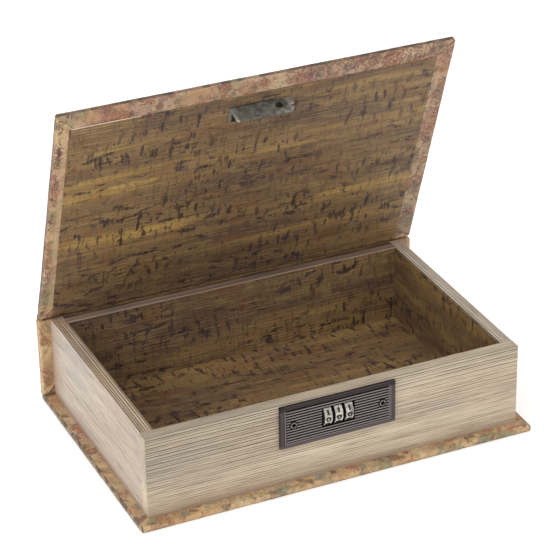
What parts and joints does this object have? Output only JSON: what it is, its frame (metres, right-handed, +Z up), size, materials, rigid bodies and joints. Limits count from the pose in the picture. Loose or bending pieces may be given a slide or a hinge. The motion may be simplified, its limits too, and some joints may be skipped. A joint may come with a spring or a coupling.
{
  "type": "book-shaped lock box",
  "caption": "Hinged box shaped like a cloth-bound book, with page-edge walls, a lined tray and a row of number dials that works a sliding latch in the front wall.",
  "frame": {"origin": "centre of the footprint on the resting face", "axes": "+X along the spine, the longest extent; -Y towards the lock; +Z up"},
  "size_m": [0.254, 0.1676, 0.2184],
  "materials": {
    "cover_cloth": "printed book cloth, satin",
    "cover_board": "grey pressed board",
    "page_wood": "matte, grooved like page edges",
    "cork_lining": "cork-print veneer, matte",
    "dark_metal": "dark bronze, satin",
    "zinc": "dull zinc",
    "dial_cream": "satin silver cream",
    "steel": "plain"
  },
  "bodies": {
    "box": {"bottom_board": "cover_board", "bottom_cloth": "cover_cloth", "spine_board": "cover_board", "spine_cloth": "cover_cloth", "floor_panel": "page_wood", "front_wall": "page_wood", "left_wall": "page_wood", "right_wall": "page_wood", "back_wall": "page_wood", "lining_floor": "cork_lining", "lining_front": "cork_lining", "lining_back": "cork_lining", "lining_left": "cork_lining", "lining_right": "cork_lining", "lock_plate": "dark_metal", "plate_screw_left": "dark_metal", "plate_screw_right": "dark_metal", "lock_case": "zinc", "lock_case_cover": "zinc", "cover_screw_left": "steel", "cover_screw_right": "steel", "detent_spring": "steel", "hinge_cloth": "cover_cloth"},
    "lid": {"lid_board": "cover_board", "lid_cloth": "cover_cloth", "lid_lining": "cork_lining", "strike_bracket": "zinc", "strike_screw_left": "steel", "strike_screw_right": "steel"},
    "dial_left_set": {"dial_left": "dial_cream", "hub_left": "steel"},
    "dial_middle_set": {"dial_middle": "dial_cream", "hub_middle": "steel"},
    "dial_right_set": {"dial_right": "dial_cream", "hub_right": "steel"},
    "latch": {"latch_spindle": "steel", "latch_hook": "zinc", "latch_spring": "steel"}
  },
  "joints": [
    {"name": "lid_hinge", "type": "hinge", "parent": "box", "child": "lid", "pos_m": [0, 0.08175, 0.0631], "axis": [-1, 0, 0], "range_deg": [-70, 110], "deforming": ["hinge_cloth"]},
    {"name": "dial_left_turn", "type": "hinge", "parent": "box", "child": "dial_left_set", "pos_m": [-0.00685, -0.07245, 0.0427], "axis": [1, 0, 0], "continuous": true},
    {"name": "dial_middle_turn", "type": "hinge", "parent": "box", "child": "dial_middle_set", "pos_m": [0, -0.07245, 0.0427], "axis": [1, 0, 0], "continuous": true},
    {"name": "dial_right_turn", "type": "hinge", "parent": "box", "child": "dial_right_set", "pos_m": [0.00685, -0.07245, 0.0427], "axis": [1, 0, 0], "continuous": true},
    {"name": "latch_slide", "type": "slide", "parent": "box", "child": "latch", "axis": [1, 0, 0], "range_m": [-0.0028, 0], "deforming": ["latch_spring"]}
  ]
}
